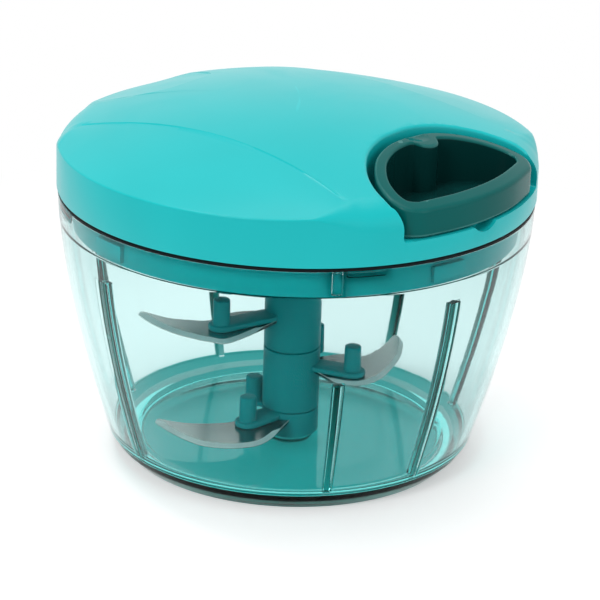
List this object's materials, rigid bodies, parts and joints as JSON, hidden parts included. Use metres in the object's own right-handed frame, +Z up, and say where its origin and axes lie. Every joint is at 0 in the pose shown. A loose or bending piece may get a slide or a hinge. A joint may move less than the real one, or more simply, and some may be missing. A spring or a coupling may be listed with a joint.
{
  "type": "pull-cord food chopper",
  "caption": "Clear round bowl under a domed teal lid, with a recessed pull handle that spins a column of curved steel blades.",
  "frame": {"origin": "centre of the bowl's foot, on the surface that it stands on", "axes": "+Z up along the axis that the blades turn on; the handle is pulled out at 38 degrees clockwise from +X, seen from above"},
  "size_m": [0.124, 0.124, 0.0953],
  "materials": {
    "clear_teal": "clear polished plastic, faint teal",
    "lid_teal": "satin moulded plastic, light teal",
    "base_teal": "moulded plastic, deep teal",
    "column_teal": "moulded plastic, dark teal",
    "handle_green": "moulded plastic, dark green",
    "seal_black": "soft black ring",
    "steel": "ground stainless steel",
    "white_plastic": "natural moulded plastic",
    "cord_white": "braided cord"
  },
  "bodies": {
    "bowl": {"bowl": "clear_teal", "spindle_pin": "steel"},
    "seal": {"rim_seal": "seal_black"},
    "lid": {"lid_cover": "lid_teal", "lid_base": "base_teal", "lid_screw_1": "steel", "lid_screw_2": "steel", "lid_screw_3": "steel", "bearing_bush": "white_plastic", "thrust_washer": "white_plastic", "drum_axle": "steel", "axle_washer": "steel", "axle_screw": "steel", "cord_guide": "steel", "cord_run": "cord_white", "recoil_spring": "steel"},
    "handle": {"pull_handle": "handle_green", "cord_knot": "cord_white"},
    "drum": {"cord_drum": "white_plastic", "spring_cover": "steel", "cord_winding": "cord_white"},
    "blade_unit": {"carrier_upper": "column_teal", "carrier_middle": "column_teal", "carrier_lower": "column_teal", "blade_upper": "steel", "blade_middle": "steel", "blade_lower": "steel"},
    "drive_hub": {"drive_hub": "white_plastic"},
    "pawl_1": {"pawl_1": "white_plastic"},
    "pawl_2": {"pawl_2": "white_plastic"}
  },
  "joints": [
    {"name": "lid_lift", "type": "slide", "parent": "bowl", "child": "seal", "axis": [0, 0, 1], "range_m": [0, 0.03]},
    {"name": "lid_twist", "type": "hinge", "parent": "seal", "child": "lid", "pos_m": [0, 0, 0.0712], "axis": [0, 0, -1], "range_deg": [0, 22.5]},
    {"name": "handle_pull", "type": "slide", "parent": "lid", "child": "handle", "axis": [0.788, -0.6157, 0], "range_m": [0, 0.32], "stiffness_N_per_m": 10, "springref_m": -0.15},
    {"name": "drum_spin", "type": "hinge", "parent": "lid", "child": "drum", "pos_m": [0, 0, 0.084], "axis": [0, 0, -1], "range_deg": [0, 1129]},
    {"name": "blade_spin", "type": "hinge", "parent": "bowl", "child": "blade_unit", "pos_m": [0, 0, 0.03], "axis": [0, 0, -1], "range_deg": [0, 1129]},
    {"name": "hub_lift", "type": "slide", "parent": "blade_unit", "child": "drive_hub", "axis": [0, 0, 1], "range_m": [0, 0.03]},
    {"name": "pawl_1_swing", "type": "hinge", "parent": "drum", "child": "pawl_1", "pos_m": [0.005, 0.00866, 0.077], "axis": [0, 0, 1], "range_deg": [0, 12]},
    {"name": "pawl_2_swing", "type": "hinge", "parent": "drum", "child": "pawl_2", "pos_m": [-0.005, -0.00866, 0.077], "axis": [0, 0, 1], "range_deg": [0, 12]}
  ],
  "couplings": [
    {"joint": "drum_spin", "follows": "handle_pull", "rad_per_m": 61.538},
    {"joint": "blade_spin", "follows": "handle_pull", "rad_per_m": 61.538},
    {"joint": "hub_lift", "follows": "lid_lift", "ratio": 1}
  ]
}
